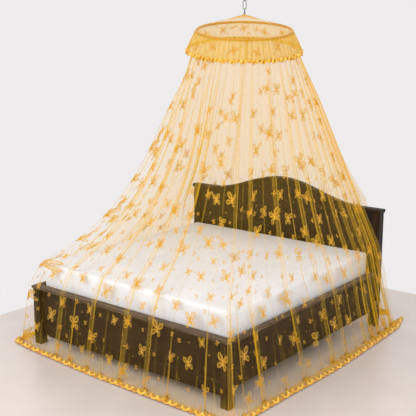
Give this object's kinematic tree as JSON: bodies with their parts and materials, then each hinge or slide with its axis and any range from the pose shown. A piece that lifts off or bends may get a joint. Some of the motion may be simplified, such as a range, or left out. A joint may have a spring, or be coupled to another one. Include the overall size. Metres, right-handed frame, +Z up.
{
  "type": "mosquito net canopy with its hanging hoop and bed",
  "caption": "Round sheer net canopy hung from a ceiling hook over a wooden bed and mattress, draped down to the floor on every side with a ruffled hem.",
  "frame": {"origin": "on the floor, under the middle of the whole object's box", "axes": "+Z up, -Y towards the foot of the bed, +X to the right seen from the foot, where the net's slit is"},
  "size_m": [2.4044, 2.622, 2.8],
  "materials": {
    "net": "sheer golden net",
    "ribbon": "gathered golden ribbon",
    "steel": "grey metal",
    "timber": "dark brown stained, satin",
    "ticking": "white cotton cover"
  },
  "bodies": {
    "root": {"mattress": "ticking", "base_board": "timber", "foot_post_left": "timber", "foot_post_right": "timber", "footboard_panel": "timber", "footboard_rail": "timber", "footboard_cap": "timber", "side_rail_left": "timber", "side_rail_cap_left": "timber", "side_rail_right": "timber", "side_rail_cap_right": "timber", "head_post_left": "timber", "head_post_right": "timber", "headboard_panel": "timber", "headboard_crown": "timber", "hoop": "ribbon", "roof_net": "net", "valance": "net", "valance_frill": "ribbon", "net_skirt": "net", "hem_frill": "ribbon", "ferrule": "steel", "chain_link_lower": "steel", "chain_link_upper": "steel", "ceiling_plate": "steel", "ceiling_hook": "steel"}
  },
  "joints": []
}
